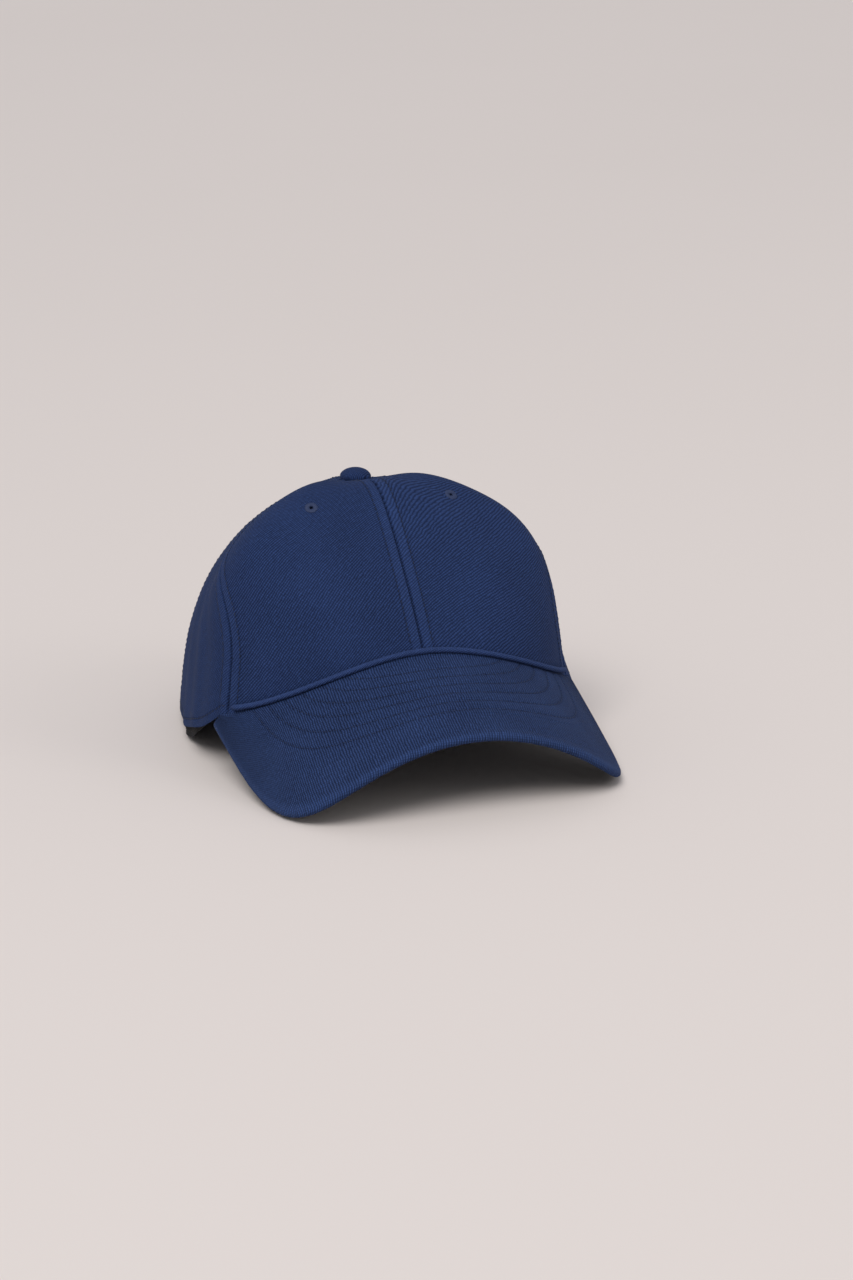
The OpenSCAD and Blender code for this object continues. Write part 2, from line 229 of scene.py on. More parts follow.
def crown(p, t, depth):
    q = crown_mid(p, t) - depth * crown_out(p, t)
    q.z = max(q.z, 0)
    return q


def t_at(p, h):
    return math.degrees(math.asin((max(h, 0) / (crown_height - hem_z(p))) ** (rise_power(p) / 2))) / 90


def cloth_grid(name, rows, marks=None, ring=False):
    """A sheet of quads through rows of points; its UV map is the distance along it, in metres."""
    wide = len(rows[0])
    mesh = bpy.data.meshes.new(name)
    faces = []
    for j in range(len(rows) - 1):
        for i in range(wide if ring else wide - 1):
            k = (i + 1) % wide
            faces.append((j * wide + i, j * wide + k, (j + 1) * wide + k, (j + 1) * wide + i))
    mesh.from_pydata([q for row in rows for q in row], [], faces)
    middle = wide // 2
    flat = []
    for j, row in enumerate(rows):
        across = [0.0]
        for i in range(1, wide + 1):
            across.append(across[-1] + (row[i % wide] - row[i - 1]).length)
        shift = 0 if ring else across[middle]
        line = []
        for i in range(wide):
            up = flat[j - 1][i][1] + (row[i] - rows[j - 1][i]).length if j else 0.0
            line.append((across[i] - shift, up))
        line.append((across[wide], line[0][1]))
        flat.append(line)
    uv = mesh.uv_layers.new(name="cut").data
    corner = 0
    for j in range(len(rows) - 1):
        for i in range(wide if ring else wide - 1):
            for a, b in ((j, i), (j, i + 1), (j + 1, i + 1), (j + 1, i)):
                uv[corner].uv = flat[a][b]
                corner += 1
    # Each point's colour mark: lighter for rubbed cloth and painted highlights, darker for painted shade in
    # grooves and stitch rows
    wear_and_painted_light = mesh.attributes.new("wear_and_painted_light", "FLOAT", "POINT")
    if marks:
        wear_and_painted_light.data.foreach_set("value", [m for row in marks for m in row])
    piece = bpy.data.objects.new(name, mesh)
    bpy.context.scene.collection.objects.link(piece)
    return piece


def pick(piece):
    bpy.ops.object.select_all(action="DESELECT")
    piece.select_set(True)
    bpy.context.view_layer.objects.active = piece


def thicken(piece, thick, offset=-1):
    pick(piece)
    bpy.ops.object.modifier_add(type="SOLIDIFY")
    solid = piece.modifiers[-1]
    solid.thickness, solid.offset = thick, offset
    solid.use_even_offset = False
    bpy.ops.object.modifier_apply(modifier=solid.name)
    bpy.ops.object.shade_smooth_by_angle(angle=math.radians(50))


seam_steps = [0.0, 0.3, 0.6, 0.9, 1.3, 2.0, 3.0, 4.0, 4.6, 4.95, 5.25, 5.5, 5.75, 6.05, 6.5, 7.2, 8.2]
hem_steps = [0.0, 0.25, 0.55, 0.9, 1.4, 2.1, 2.9, 3.4, 3.7, 4.0, 4.3, 4.6, 5.1, 6.0, 7.2, 8.6, 10.0, 11.5]
arch_half, arch_tall = 0.032, 0.040
seam_row = 0.0055
hem_row = 0.004


def arch_start(p):
    """How high over the hem the back panel starts, at the arch that is cut out of it."""
    x = half_width * plan_scale(172) * abs(sin_d(180 - abs(p)))
    if abs(p) < 100 or x >= arch_half:
        return 0.0
    return arch_tall * cos_d(math.degrees(math.asin((x / arch_half) ** (1 / 0.85)))) ** 0.85


def slack(p, q, t):
    """The slow hills and dents of cloth that nothing holds flat."""
    limp = smooth((abs(p) - 52) / 16)
    swell = noise.noise(q * 22 + Vector((3.1, 0.4, 7.7)))
    small = noise.noise(q * 60 + Vector((9.2, 5.1, 1.3)))
    low = 1 - smooth((t - 0.12) / 0.5)
    dents = hump(p, -84, 5.5) * 0.0016 + hump(p, -73, 3.6) * 0.0011 + hump(p, -100, 6) * 0.0012
    dents += hump(p, 79, 5) * 0.0013 + hump(p, 97, 7) * 0.0013
    quiet = 0.00022 * swell + 0.00008 * small
    return quiet * (1 - limp) + limp * (0.0009 * swell + 0.00025 * small - dents * low)


def row_marks(p0, p1, height):
    """Lengths along one row of a panel, seam to seam, each with its angle; and how much its seams narrow."""
    marks, last = [(0.0, p0)], crown_mid(p0, height(p0))
    for i in range(1, 31):
        p = mix(p0, p1, i / 30)
        q = crown_mid(p, height(p))
        marks.append((marks[-1][0] + (q - last).length, p))
        last = q
    return marks, min(1, 0.4 * marks[-1][0] / (seam_steps[-1] / 1000))


def between_marks(marks, value, given, wanted):
    """Reads one column of the marks where the other has this value."""
    i = 0
    while i < len(marks) - 2 and marks[i + 1][given] < value:
        i += 1
    a, b = marks[i], marks[i + 1]
    return mix(a[wanted], b[wanted], (value - a[given]) / max(b[given] - a[given], 1e-9))


def cloth_lift(p, q, t, d, k, h, stiff):
    """How far the cloth stands off its plain surface, and its colour mark: d from a seam, h over the hem. The
    mark is lighter on the raised strips beside a seam, as rubbed cloth. It is lighter at the hem's fold, as
    rubbed cloth and painted highlight. It is darker in the seam groove and the stitch rows, as painted shade.
    """
    lift = -0.0009 * hump(d, 0, 0.0005)
    lift += 0.00042 * min(1, k * 1.4) * smooth(d / 0.0009) * (1 - smooth((d - 0.0053 * k) / 0.0017))
    lift -= 0.00022 * hump(d, seam_row * k, 0.00042)
    # Colour mark: the raised strip is lighter as rubbed cloth; the seam groove and the stitch row are darker as
    # painted shade
    ridge = smooth(d / 0.0009) * (1 - smooth((d - 0.0045) / 0.001)) - 1.2 * hump(d, seam_row * k, 0.0005)
    ridge -= 1.5 * hump(d, 0, 0.0005)
    if not stiff and h < 0.012:
        lift += 0.00035 * smooth(h / 0.0012) * (1 - smooth((h - 0.0085) / 0.0025))
        lift -= 0.0002 * hump(h, hem_row, 0.0004)
        # Colour mark: the hem's fold is lighter as rubbed cloth and painted highlight; its stitch row is darker
        # as painted shade
        ridge += hump(h, 0.0006, 0.0008) - 1.0 * hump(h, hem_row, 0.0005)
    if d < 0.012:
        # thread pulled tight along the seam draws the cloth into small waves
        along = q.z * 1000 / 4.1 + noise.noise(q * 90) * 1.5
        lift += 0.00007 * math.sin(along * 2 * math.pi) * hump(d, 0.0058, 0.0032)
    return lift + slack(p, q, t) * smooth(d / 0.010), ridge


def rise(k):
    """Rows lie closer together near the top, where the rib turns over quickly."""
    return 0.55 * k + 0.45 * math.sin(k * math.pi / 2)


def panel(name, p0, p1, stiff):
    """One panel of the crown, from its hem to the button, between the seams at p0 and p1."""
    edges = [s / 1000 for s in seam_steps]
    between = [(i + 1) / 41 for i in range(40)]
    if abs(p0 + p1) == 300:
        # the arch has a nearly upright side, which needs more points beside it
        side = (180 - math.degrees(math.asin(arch_half / (half_width * plan_scale(172)))) - 120) / 60
        near = [side + d for d in (-0.012, -0.002, 0.004, 0.010, 0.018, 0.028, 0.042, 0.06, 0.08, 0.105)]
        if p0 < 0:
            near = [1 - n for n in near]
        between = sorted(between + near)
    columns = len(edges) * 2 + len(between)
    upper = 96
    rows, marks, starts = [], [], []
    for j in range(len(hem_steps) + upper):
        row, mark = [], []
        h = hem_steps[min(j, len(hem_steps) - 1)] / 1000
        frac = (j - len(hem_steps) + 1) / upper

        def height(p):
            t = t_at(p, h + (0 if stiff else arch_start(p)))
            return t if frac <= 0 else mix(t, top_at(p), rise(frac))

        spots, k = row_marks(p0, p1, height)
        whole = spots[-1][0]
        inner0 = between_marks(spots, k * edges[-1], 0, 1)
        inner1 = between_marks(spots, whole - k * edges[-1], 0, 1)
        for i in range(columns):
            if i < len(edges):
                p, d = between_marks(spots, k * edges[i], 0, 1), k * edges[i]
            elif i >= columns - len(edges):
                e = edges[columns - 1 - i]
                p, d = between_marks(spots, whole - k * e, 0, 1), k * e
            else:
                p = mix(inner0, inner1, between[i - len(edges)])
                d = between_marks(spots, p, 1, 0)
                d = min(d, whole - d)
            if j == 0:
                starts.append(0.0 if stiff else arch_start(p))
            t = t_at(p, starts[i] + h)
            if frac > 0:
                t = mix(t, top_at(p), rise(frac))
            q = crown_mid(p, t)
            lift, ridge = cloth_lift(p, q, t, d, k, h if frac <= 0 else 1, stiff)
            q = q + lift * crown_out(p, t)
            q.z = max(q.z, 0)
            row.append(q)
            mark.append(ridge)
        rows.append(row)
        marks.append(mark)
    piece = cloth_grid(name, rows, marks)
    thicken(piece, cloth_thick)
    return piece


panels = {
    "front_left": panel("front_left", -60, 0, True),
    "front_right": panel("front_right", 0, 60, True),
    "side_left": panel("side_left", -120, -60, False),
    "side_right": panel("side_right", 60, 120, False),
    "back_left": panel("back_left", -180, -120, False),
    "back_right": panel("back_right", 120, 180, False),
}

# A vent hole is punched through each panel before its edge is worked round with thread
eyelet_t = 0.725
eyelet_at = {"front_left": -30, "front_right": 30, "side_left": -90, "side_right": 90,
             "back_left": -150, "back_right": 150}


def on_crown(p, t, depth=0.0):
    """The turn and place that put a thing on the crown, with its +Z out of the cloth."""
    n = crown_out(p, t)
    return Matrix.Translation(crown_mid(p, t) - depth * n) @ n.to_track_quat("Z", "Y").to_matrix().to_4x4()


def punch(piece, p):
    """A round hole through a piece of the crown, in the middle of the panel at p."""
    bpy.ops.object.select_all(action="DESELECT")
    bpy.ops.mesh.primitive_cylinder_add(vertices=28, radius=0.0019, depth=0.012)
    tool = bpy.context.object
    tool.data.transform(on_crown(p, eyelet_t))
    pick(piece)
    bpy.ops.object.modifier_add(type="BOOLEAN")
    cut = piece.modifiers[-1]
    cut.operation, cut.object, cut.solver = "DIFFERENCE", tool, "EXACT"
    bpy.ops.object.modifier_apply(modifier=cut.name)
    bpy.data.objects.remove(tool)


for where, p in eyelet_at.items():
    punch(panels[where], p)


def socket(group, name, way, kind, value=None):
    made = group.interface.new_socket(name=name, in_out=way, socket_type=kind)
    if value is not None:
        made.default_value = value
    return made


def wire(tree, *pairs):
    for a, b in pairs:
        tree.links.new(a, b)


def arithmetic(tree, what, a, b=None, c=None):
    node = tree.nodes.new("ShaderNodeMath")
    node.operation = what
    for slot, value in enumerate((a, b, c)):
        if value is None:
            continue
        if isinstance(value, (int, float)):
            node.inputs[slot].default_value = value
        else:
            tree.links.new(value, node.inputs[slot])
    return node.outputs[0]


# Woven cloth: raised ribs crossed by a second set of yarns, both a little uneven.
# Height is the relief of the yarns; Shade is darker between them; Fleck is the yarns' own mottle.
weave = bpy.data.node_groups.new("woven cloth", "ShaderNodeTree")
socket(weave, "Cut", "INPUT", "NodeSocketVector")
socket(weave, "Rib", "INPUT", "NodeSocketVector")
socket(weave, "Cross", "INPUT", "NodeSocketVector")
socket(weave, "Uneven", "INPUT", "NodeSocketFloat", 0.8)
socket(weave, "Height", "OUTPUT", "NodeSocketFloat")
socket(weave, "Shade", "OUTPUT", "NodeSocketFloat")
socket(weave, "Fleck", "OUTPUT", "NodeSocketFloat")
given = weave.nodes.new("NodeGroupInput")
result = weave.nodes.new("NodeGroupOutput")
wander = weave.nodes.new("ShaderNodeTexNoise")
wander.inputs["Scale"].default_value = 260
wander.inputs["Detail"].default_value = 3
wire(weave, (given.outputs["Cut"], wander.inputs["Vector"]))
drift = arithmetic(weave, "MULTIPLY", arithmetic(weave, "SUBTRACT", wander.outputs["Fac"], 0.5),
                   given.outputs["Uneven"])
waves = []
for name, part in (("Rib", 9.0), ("Cross", 6.0)):
    dot = weave.nodes.new("ShaderNodeVectorMath")
    dot.operation = "DOT_PRODUCT"
    wire(weave, (given.outputs["Cut"], dot.inputs[0]), (given.outputs[name], dot.inputs[1]))
    phase = arithmetic(weave, "ADD", arithmetic(weave, "MULTIPLY", dot.outputs["Value"], 2 * math.pi),
                       arithmetic(weave, "MULTIPLY", drift, part))
    waves.append(arithmetic(weave, "MULTIPLY_ADD", arithmetic(weave, "SINE", phase), 0.5, 0.5))
rib, cross = waves
rib = arithmetic(weave, "POWER", rib, 0.65)
height = arithmetic(weave, "MULTIPLY", rib, arithmetic(weave, "MULTIPLY_ADD", cross, 0.45, 0.55))
mottle = weave.nodes.new("ShaderNodeTexNoise")
mottle.inputs["Scale"].default_value = 520
mottle.inputs["Detail"].default_value = 4
mottle.inputs["Roughness"].default_value = 0.65
wire(weave, (given.outputs["Cut"], mottle.inputs["Vector"]))
fleck = arithmetic(weave, "MULTIPLY_ADD", mottle.outputs["Fac"], 2.6, -0.8)
wire(
    weave,
    (arithmetic(weave, "ADD", height, arithmetic(weave, "MULTIPLY", fleck, 0.35)), result.inputs["Height"]),
    (arithmetic(weave, "MULTIPLY_ADD", height, 0.95, 0.08), result.inputs["Shade"]),
    (fleck, result.inputs["Fleck"]),
)


def cloth_material(name, deep, pale, rib, cross, relief=0.00034, uneven=0.8, roughness=0.88, sheen=0.025,
                   wear_and_painted_light_strength=0.12):
    """Cloth dyed one colour, mixed from deep to pale: pale on the yarns and deep between them as painted shade,
    with random tone and mottle. It is lighter along rubbed ridges and painted highlights, and darker in grooves
    and stitch rows as painted shade.
    """
    made = bpy.data.materials.new(name)
    made.use_nodes = True
    tree = made.node_tree
    shader = tree.nodes["Principled BSDF"]
    cut = tree.nodes.new("ShaderNodeUVMap")
    cut.uv_map = "cut"
    yarns = tree.nodes.new("ShaderNodeGroup")
    yarns.node_tree = weave
    yarns.inputs["Rib"].default_value = rib
    yarns.inputs["Cross"].default_value = cross
    yarns.inputs["Uneven"].default_value = uneven
    wire(tree, (cut.outputs["UV"], yarns.inputs["Cut"]))
    place = tree.nodes.new("ShaderNodeTexCoord")
    broad = tree.nodes.new("ShaderNodeTexNoise")
    broad.inputs["Scale"].default_value = 32
    broad.inputs["Detail"].default_value = 3
    wire(tree, (place.outputs["Object"], broad.inputs["Vector"]))
    wear_and_painted_light = tree.nodes.new("ShaderNodeAttribute")
    wear_and_painted_light.attribute_name = "wear_and_painted_light"
    # Painted shade: the weave's Shade output makes the colour darker between the yarns
    share = arithmetic(tree, "MULTIPLY", yarns.outputs["Shade"],
                       arithmetic(tree, "MULTIPLY_ADD", yarns.outputs["Fleck"], 0.55, 0.5))
    share = arithmetic(tree, "ADD", share, arithmetic(tree, "MULTIPLY_ADD", broad.outputs["Fac"], 0.30, -0.15))
    # Painted light: the point mark lightens rubbed ridges and painted-highlight edges, and darkens grooves and
    # stitch rows as painted shade
    share = arithmetic(tree, "ADD", share, arithmetic(tree, "MULTIPLY", wear_and_painted_light.outputs["Fac"], wear_and_painted_light_strength))
    dye_with_painted_light = tree.nodes.new("ShaderNodeMix")
    dye_with_painted_light.data_type = "RGBA"
    dye_with_painted_light.inputs["A"].default_value = (*deep, 1)
    dye_with_painted_light.inputs["B"].default_value = (*pale, 1)
    wire(tree, (share, dye_with_painted_light.inputs["Factor"]), (dye_with_painted_light.outputs["Result"], shader.inputs["Base Color"]))
    rough = arithmetic(tree, "MULTIPLY_ADD", yarns.outputs["Fleck"], 0.10, roughness - 0.05)
    wire(tree, (rough, shader.inputs["Roughness"]))
    relief_node = tree.nodes.new("ShaderNodeBump")
    relief_node.inputs["Strength"].default_value = 0.8
    relief_node.inputs["Distance"].default_value = relief
    wire(tree, (yarns.outputs["Height"], relief_node.inputs["Height"]),
         (relief_node.outputs["Normal"], shader.inputs["Normal"]))
    shader.inputs["Specular IOR Level"].default_value = 0.12
    shader.inputs["Sheen Weight"].default_value = sheen
    shader.inputs["Sheen Roughness"].default_value = 0.45
    shader.inputs["Sheen Tint"].default_value = (0.55, 0.66, 1.0, 1)
    return made


navy_deep, navy_pale = (0.0056, 0.0118, 0.040), (0.032, 0.064, 0.192)
crown_cloth = cloth_material("navy_crown_cloth", navy_deep, navy_pale, (480, -640, 0), (640, 480, 0))
for where, piece in panels.items():
    piece.name = "crown_" + where
    piece.data.materials.append(crown_cloth)
    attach(piece, "cap")
    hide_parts(where.split("_")[0] + "_panel_" + where.split("_")[1])

# ---------------------------------------------------------------------------
# Stitching on the crown: navy cotton thread, one lockstitch every 2.8 mm. A row runs down each side
# of every seam, and one row goes round the turned-up hem. Each stitch dips into the cloth at its ends.


def stitches(name, runs, material, pitch=0.0028, long=0.0021, radius=0.00021):
    """Stitches along each run of (point, out of the cloth); all the runs' stitches are one piece."""
    points, faces = [], []
    for run in runs:
        if len(run) < 2:
            continue
        far = [0.0]
        for a, b in zip(run, run[1:]):
            far.append(far[-1] + (b[0] - a[0]).length)
        count = int(far[-1] / pitch)
        step, reach = 0, (far[-1] - (count - 1) * pitch) / 2
        for n in range(count):
            first = len(points)
            for ring, (along, size, lift) in enumerate(
                ((-0.5, 0.45, -0.9), (-0.36, 0.95, 0.15), (0, 1.05, 0.75), (0.36, 0.95, 0.15), (0.5, 0.45, -0.9))
            ):
                x = min(max(reach + n * pitch + along * long, 0), far[-1])
                while step > 0 and far[step] > x:
                    step -= 1
                while step < len(far) - 2 and far[step + 1] < x:
                    step += 1
                k = (x - far[step]) / max(far[step + 1] - far[step], 1e-9)
                middle = run[step][0].lerp(run[step + 1][0], k)
                out = run[step][1].lerp(run[step + 1][1], k).normalized()
                ahead = (run[step + 1][0] - run[step][0]).normalized()
                side = ahead.cross(out).normalized()
                for spoke in range(6):
                    a = spoke * math.pi / 3
                    spin = math.cos(a) * side + math.sin(a) * out
                    points.append(middle + radius * (lift * out + size * spin))
            for ring in range(4):
                for spoke in range(6):
                    a, b = first + ring * 6 + spoke, first + ring * 6 + (spoke + 1) % 6
                    faces.append((a, b, b + 6, a + 6))
            faces.append(tuple(first + spoke for spoke in reversed(range(6))))
            faces.append(tuple(first + 24 + spoke for spoke in range(6)))
    mesh = bpy.data.meshes.new(name)
    mesh.from_pydata(points, [], faces)
    bm = bmesh.new()
    bm.from_mesh(mesh)
    bmesh.ops.recalc_face_normals(bm, faces=bm.faces)
    bm.to_mesh(mesh)
    bm.free()
    mesh.shade_smooth()
    piece = bpy.data.objects.new(name, mesh)
    bpy.context.scene.collection.objects.link(piece)
    piece.data.materials.append(material)
    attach(piece, "cap")
    return piece


def thread_material(name, deep, pale, roughness=0.55):
    """Spun thread: a fine twist that shows as slanting light and dark, painted into its colour as shade from the
    same bands that make its bump, on the piece's own place.
    """
    made = bpy.data.materials.new(name)
    made.use_nodes = True
    tree = made.node_tree
    shader = tree.nodes["Principled BSDF"]
    place = tree.nodes.new("ShaderNodeTexCoord")
    twist = tree.nodes.new("ShaderNodeTexWave")
    twist.bands_direction = "DIAGONAL"
    twist.inputs["Scale"].default_value = 900
    twist.inputs["Distortion"].default_value = 3
    fuzz = tree.nodes.new("ShaderNodeTexNoise")
    fuzz.inputs["Scale"].default_value = 1400
    wire(tree, (place.outputs["Object"], twist.inputs["Vector"]),
         (place.outputs["Object"], fuzz.inputs["Vector"]))
    # Painted shade: the twist bands that make the bump also darken the colour in the grooves between plies, with
    # random fuzz
    share = arithmetic(tree, "MULTIPLY_ADD", twist.outputs["Fac"], 0.6,
                       arithmetic(tree, "MULTIPLY", fuzz.outputs["Fac"], 0.4))
    dye_with_painted_light = tree.nodes.new("ShaderNodeMix")
    dye_with_painted_light.data_type = "RGBA"
    dye_with_painted_light.inputs["A"].default_value = (*deep, 1)
    dye_with_painted_light.inputs["B"].default_value = (*pale, 1)
    relief = tree.nodes.new("ShaderNodeBump")
    relief.inputs["Strength"].default_value = 0.6
    relief.inputs["Distance"].default_value = 0.0001
    wire(tree, (share, dye_with_painted_light.inputs["Factor"]), (dye_with_painted_light.outputs["Result"], shader.inputs["Base Color"]),
         (share, relief.inputs["Height"]), (relief.outputs["Normal"], shader.inputs["Normal"]))
    shader.inputs["Roughness"].default_value = roughness
    shader.inputs["Specular IOR Level"].default_value = 0.3
    return made


navy_thread = thread_material("navy_thread", (0.0035, 0.007, 0.022), (0.014, 0.026, 0.072))
seam_runs, hem_runs = [], []
for p0, p1 in ((-60, 0), (0, 60), (-120, -60), (60, 120), (-180, -120), (120, 180)):
    stiff = abs(p0) <= 60 and abs(p1) <= 60
    for at_start in (True, False):
        run = []
        seam_p = p0 if at_start else p1
        low = 0.0405 if abs(seam_p) == 180 else (0.0062 if stiff or abs(seam_p) == 60 else 0.001)
        for j in range(150):
            share = mix(0, 0.975, j / 149)

            def height(p):
                return mix(t_at(p, low), top_at(p), share)

            spots, k = row_marks(p0, p1, height)
            p = between_marks(spots, k * seam_row if at_start else spots[-1][0] - k * seam_row, 0, 1)
            t = height(p)
            q, n = crown_mid(p, t), crown_out(p, t)
            run.append((q + (cloth_lift(p, q, t, k * seam_row, k, 1, stiff)[0] + 0.00003) * n, n))
        seam_runs.append(run)
    if not stiff:
        run = []
        stop = 180 - math.degrees(math.asin((arch_half + 0.005) / (half_width * plan_scale(172))))
        for j in range(160):
            p = mix(max(p0, -stop), min(p1, stop), j / 159)
            t = t_at(p, hem_row)
            spots, k = row_marks(p0, p1, lambda p: t_at(p, hem_row))
            d = between_marks(spots, p, 1, 0)
            d = min(d, spots[-1][0] - d)
            q, n = crown_mid(p, t), crown_out(p, t)
            if d > 0.0008:
                run.append((q + (cloth_lift(p, q, t, d, k, hem_row, False)[0] + 0.00003) * n, n))
        hem_runs.append(run)
stitches("seam_stitches", seam_runs, navy_thread)
stitches("hem_stitches", hem_runs, navy_thread)

# The soft front corners of the side panels sink and spread a little, and the stitches go with them
spread_left, spread_right, corner_sag = 0.0015, 0.0080, 0.0034
corner_turn = math.degrees(math.atan2(rim(68).x, -rim(68).y))
for piece in list(panels.values()) + [bpy.data.objects["seam_stitches"], bpy.data.objects["hem_stitches"]]:
    for v in piece.data.vertices:
        turn = math.degrees(math.atan2(abs(v.co.x), -v.co.y))
        loose = hump(turn, corner_turn, 8) * (1 - smooth((v.co.z - 0.006) / 0.036))
        away = Vector((v.co.x, v.co.y, 0)).normalized()
        v.co += loose * ((spread_right if v.co.x > 0 else spread_left) * away - Vector((0, 0, corner_sag)))

# ---------------------------------------------------------------------------
# Eyelets: vent holes worked round with satin stitch, one in each panel. The thread is packed side
# by side from the outer edge, over the rim of the hole and down to the back of the cloth.
ring_radius, ring_thick = 0.0020, 0.0012
eyelet_thread = thread_material("eyelet_thread", (0.011, 0.019, 0.054), (0.032, 0.054, 0.14))
for where, p in eyelet_at.items():
    bpy.ops.object.select_all(action="DESELECT")
    bpy.ops.mesh.primitive_torus_add(major_radius=ring_radius, minor_radius=ring_thick, major_segments=128,
                                     minor_segments=12)
    ring = bpy.context.object
    ring.name = "worked_eyelet_" + where
    deep = 0.0021 if "front" in where else 0.0012
    for v in ring.data.vertices:
        turn = math.atan2(v.co.y, v.co.x)
        out = math.hypot(v.co.x, v.co.y) - ring_radius
        cord = 1 + 0.10 * math.cos(32 * turn) + 0.06 * math.sin(5 * turn + p)
        grow = (ring_radius + out * cord) / math.hypot(v.co.x, v.co.y)
        v.co.x, v.co.y = v.co.x * grow, v.co.y * grow
        v.co.z = v.co.z * 0.4 * cord if v.co.z > 0 else v.co.z * deep / ring_thick
    ring.data.transform(on_crown(p, eyelet_t, 0.00008))
    ring.data.shade_smooth()
    ring.data.materials.append(eyelet_thread)
    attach(ring, "cap")
    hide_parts("eyelet_" + where)

# ---------------------------------------------------------------------------
# Brow roll: a bias strip of the same cloth rolled into a cord, sewn into the corner between the
# front panels and the visor. Its ends are tucked in behind the side panels.


def close_ends(piece):
    """Fills the open ends of a tube and turns its faces outwards."""
    bm = bmesh.new()
    bm.from_mesh(piece.data)
    bmesh.ops.holes_fill(bm, edges=[e for e in bm.edges if len(e.link_faces) == 1], sides=0)
    bmesh.ops.recalc_face_normals(bm, faces=bm.faces)
    bm.to_mesh(piece.data)
    bm.free()


roll_radius = 0.0014
roll_rise = 0.0009 + 0.0007 + 0.00025 + roll_radius
roll_end = 60.2
rows, marks = [], []
for i in range(241):
    k = i / 240
    p = mix(-roll_end, roll_end, k)
    near = 1 - abs(2 * k - 1)
    tip = smooth(near / 0.06)
    t = t_at(p, roll_rise)
    n = crown_out(p, t)
    out = Vector((n.x, n.y, 0)).normalized()
    wobble = 0.00012 * noise.noise(Vector((p * 0.55, 2.2, 0))) + 0.00005 * math.sin(p * 9)
    middle = crown(p, t, mix(0.0004, -roll_radius - 0.0001, tip)) + Vector((0, 0, wobble))
    row, mark = [], []
    for spoke in range(20):
        a = spoke * math.tau / 20
        r = mix(0.0002, roll_radius, tip) * (1 + 0.05 * noise.noise(Vector((p * 1.3, math.sin(a), math.cos(a)))))
        row.append(middle + r * (0.97 * math.sin(a) * out + 1.02 * math.cos(a) * Vector((0, 0, 1))))
        # Painted highlight: the cord's upper outer side is lighter in its colour mark
        mark.append(0.9 * max(0, math.sin(a + 0.5)))
    rows.append(row)
    marks.append(mark)
roll = cloth_grid("brow_cord", rows, marks, ring=True)
close_ends(roll)
roll.data.shade_smooth()
bias_cloth = cloth_material("navy_bias_cloth", (0.008, 0.016, 0.052), (0.046, 0.086, 0.245), (900, 520, 0),
                            (-520, 900, 0))
roll.data.materials.append(bias_cloth)
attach(roll, "cap")
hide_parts("brow_roll")

# ---------------------------------------------------------------------------
# Visor: a moulded plastic board between two cloths. The navy top cloth comes down round the edge
# and is joined to the dark under cloth there. Six rows of stitches, 6.6 mm apart, follow the edge
# through both cloths and the board; the outermost is 22 mm from it.
visor_half, visor_length, corner = 0.106, 0.0655, 4
edge_round = 0.0018


def seam_flat(s):
    p = s * visor_end
    q = rim(p)
    q = q + (flare(p) + 0.0005) * q.normalized()
    return Vector((bend_at(q.y) * math.asin(q.x / bend_at(q.y)), q.y))


visor_back = seam_flat(1).y


def edge_flat(s):
    a = (1 - abs(s)) * 90
    reach = (cos_d(a) ** corner + sin_d(a) ** corner) ** (-1 / corner)
    return Vector((
        math.copysign(visor_half * reach * cos_d(a), s),
        visor_back - (visor_length + visor_back - front_y) * reach * sin_d(a),
    ))


def edge_away(s):
    """Out of the visor, square to its edge, on the flat cut."""
    a, b = edge_flat(max(s - 0.004, -1)), edge_flat(min(s + 0.004, 1))
    along = (b - a).normalized()
    away = Vector((along.y, -along.x))
    return away if away.dot(edge_flat(s) - Vector((0, visor_back))) > 0 else -away


def visor_bent(u, y):
    r = bend_at(y)
    return Vector((r * math.sin(u / r), y,
                   seam_height + (y - front_y) * math.tan(math.radians(visor_pitch)) - r * (1 - math.cos(u / r))))


def visor_point(u, y, lift):
    e = 0.0005
    across, ahead = visor_bent(u + e, y) - visor_bent(u - e, y), visor_bent(u, y + e) - visor_bent(u, y - e)
    up = across.cross(ahead).normalized()
    q = visor_bent(u, y) + lift * up
    q.z = max(q.z, 0)
    return q, up


def in_from_edge(u, y):
    """How far in from the edge a place on the flat visor is; the curves grow rounder as they go in."""
    tall = visor_length + visor_back - front_y
    near, far = 0.0, 0.104
    for _ in range(18):
        gap = (near + far) / 2
        round_off = 2.3 + (corner - 2.3) * math.exp(-gap / 0.025)
        if (abs(u) / (visor_half - gap)) ** round_off + (max(visor_back - y, 0) / (tall - gap)) ** round_off > 1:
            far = gap
        else:
            near = gap
    return gap


stitch_rows = [0.0217 + 0.0066 * i for i in range(6)]
visor_columns, visor_rows = 280, 118
top_rows, top_marks, low_rows, low_marks = [], [], [], []
top_runs, low_runs = [[] for _ in stitch_rows], [[] for _ in stitch_rows]
spans = []
for i in range(visor_columns + 1):
    s = 1 - 2 * i / visor_columns
    start, edge, away = seam_flat(s), edge_flat(s), edge_away(s)
    spans.append((s, start, edge - away * edge_round, away))
gaps = [[in_from_edge(*start.lerp(inner, mix(0.01, 1, j / visor_rows))) for s, start, inner, away in spans]
        for j in range(visor_rows + 1)]
